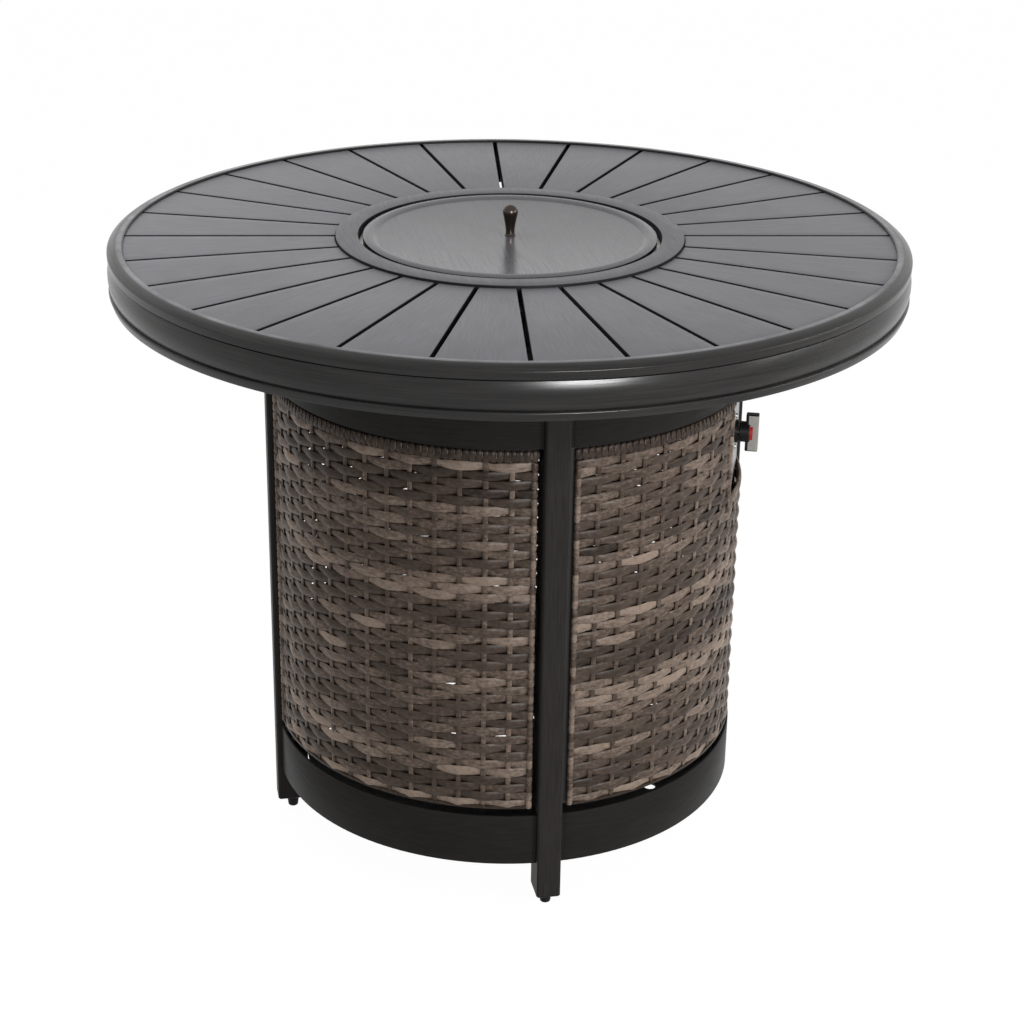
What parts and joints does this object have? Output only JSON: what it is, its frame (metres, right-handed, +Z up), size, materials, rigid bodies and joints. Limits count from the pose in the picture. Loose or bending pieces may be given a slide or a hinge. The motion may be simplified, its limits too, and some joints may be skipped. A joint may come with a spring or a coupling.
{
  "type": "gas fire pit table",
  "caption": "Round slatted gas fire table: a lift-off lid over a ring burner, on a four-legged drum of woven panels with a hinged door and a push-and-turn gas knob.",
  "frame": {"origin": "on the floor under the centre of the table", "axes": "+Z up; the front leg stands towards -Y, and the right leg towards +X"},
  "size_m": [0.9144, 0.9144, 0.7615],
  "materials": {
    "slate_frame": "powder-coated slate with brushed bronze-grey streaks, satin",
    "dark_frame": "powder-coated dark slate, satin",
    "woven_resin": "woven flat resin strand, mottled tan-grey to dark brown",
    "zinc_steel": "zinc-plated steel",
    "burner_steel": "brushed stainless steel",
    "brass_fittings": "turned brass",
    "bare_aluminium": "drawn aluminium tube",
    "valve_steel": "turned steel",
    "ceramic": "glazed off-white ceramic",
    "lava": "rough porous lava rock",
    "bronze_knob": "polished dark bronze",
    "plate_steel": "brushed stainless sheet",
    "black_plastic": "black moulded plastic",
    "red_plastic": "red moulded plastic",
    "silver_plastic": "silver-coated plastic",
    "foot_nylon": "black nylon"
  },
  "bodies": {
    "table": {"air_mixer": "burner_steel", "apron_plates": "slate_frame", "burner_locknut": "burner_steel", "burner_pan": "burner_steel", "burner_ring": "burner_steel", "control_housing": "dark_frame", "control_plate": "plate_steel", "control_screws": "zinc_steel", "cross_bars": "dark_frame", "frame_screws": "zinc_steel", "gas_pipe": "bare_aluminium", "gas_valve": "brass_fittings", "heat_shield": "zinc_steel", "hinge_brackets": "dark_frame", "hinge_spacer": "foot_nylon", "hub_ring": "slate_frame", "igniter_electrode": "ceramic", "knob_bezel": "black_plastic", "lava_rocks": "lava", "leg_back": "slate_frame", "leg_front": "slate_frame", "leg_left": "slate_frame", "leg_plugs": "foot_nylon", "leg_right": "slate_frame", "magnet_catch": "black_plastic", "orifice_elbow": "brass_fittings", "panel_clips": "dark_frame", "panel_frames": "dark_frame", "probe_bracket": "zinc_steel", "shield_rods": "zinc_steel", "skirt_plates": "slate_frame", "slat_ring_inner": "dark_frame", "slat_ring_outer": "dark_frame", "slat_screws": "zinc_steel", "tank_collar": "dark_frame", "tank_tray": "dark_frame", "thermocouple": "valve_steel", "top_bolts": "zinc_steel", "top_rim": "slate_frame", "top_slats": "slate_frame", "valve_inlet": "brass_fittings", "wicker_back_left": "woven_resin", "wicker_back_right": "woven_resin", "wicker_front_right": "woven_resin"},
    "lid": {"burner_lid": "slate_frame", "lid_knob": "bronze_knob", "lid_knob_screw": "zinc_steel"},
    "door": {"door_frame": "dark_frame", "door_wicker": "woven_resin", "door_pins": "zinc_steel", "strike_plate": "zinc_steel"},
    "plunger": {"valve_plunger": "brass_fittings"},
    "knob": {"valve_stem": "valve_steel", "knob_hub": "black_plastic", "knob_bar": "silver_plastic", "knob_ring": "red_plastic"},
    "right_foot": {"foot_right": "foot_nylon"},
    "back_foot": {"foot_back": "foot_nylon"},
    "left_foot": {"foot_left": "foot_nylon"},
    "front_foot": {"foot_front": "foot_nylon"}
  },
  "joints": [
    {"name": "lid_lift", "type": "slide", "parent": "table", "child": "lid", "axis": [0, 0, 1], "range_m": [0, 0.25]},
    {"name": "door_hinge", "type": "hinge", "parent": "table", "child": "door", "pos_m": [-0.2715, -0.025, 0.348], "axis": [0, 0, -1], "range_deg": [0, 100]},
    {"name": "knob_push", "type": "slide", "parent": "table", "child": "plunger", "axis": [-0.9397, 0.342, 0], "range_m": [0, 0.004], "stiffness_N_per_m": 3000, "springref_m": -0.002},
    {"name": "knob_turn", "type": "hinge", "parent": "plunger", "child": "knob", "pos_m": [0.25372, -0.09234, 0.505], "axis": [0.9397, -0.342, 0], "range_deg": [0, 180]},
    {"name": "right_foot_level", "type": "slide", "parent": "table", "child": "right_foot", "axis": [0, 0, -1], "range_m": [0, 0.01]},
    {"name": "back_foot_level", "type": "slide", "parent": "table", "child": "back_foot", "axis": [0, 0, -1], "range_m": [0, 0.01]},
    {"name": "left_foot_level", "type": "slide", "parent": "table", "child": "left_foot", "axis": [0, 0, -1], "range_m": [0, 0.01]},
    {"name": "front_foot_level", "type": "slide", "parent": "table", "child": "front_foot", "axis": [0, 0, -1], "range_m": [0, 0.01]}
  ]
}
